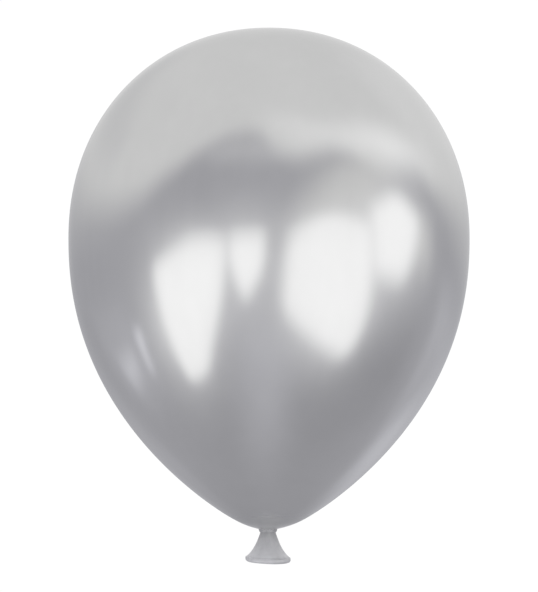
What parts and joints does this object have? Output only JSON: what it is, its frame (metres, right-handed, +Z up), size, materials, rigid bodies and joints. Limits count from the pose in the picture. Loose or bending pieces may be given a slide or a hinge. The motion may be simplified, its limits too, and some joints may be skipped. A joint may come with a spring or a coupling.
{
  "type": "metallic latex party balloon",
  "caption": "Teardrop party balloon of thin silver metallic rubber, blown up and knotted, with a flared slack neck and a rolled lip.",
  "frame": {"origin": "centre of the balloon's widest circle, on its axis", "axes": "+Z up the balloon's axis towards the crown, -Y towards the viewer of the picture, +X to the viewer's right"},
  "size_m": [0.3, 0.3, 0.3997],
  "materials": {
    "silver_film": "stretched latex with a silver metallic pigment, a soft mirror",
    "slack_film": "unstretched latex with the same pigment, satin"
  },
  "bodies": {
    "root": {"envelope": "silver_film", "throat": "slack_film", "knot": "slack_film", "neck_skirt": "slack_film", "rolled_lip": "slack_film"}
  },
  "joints": []
}
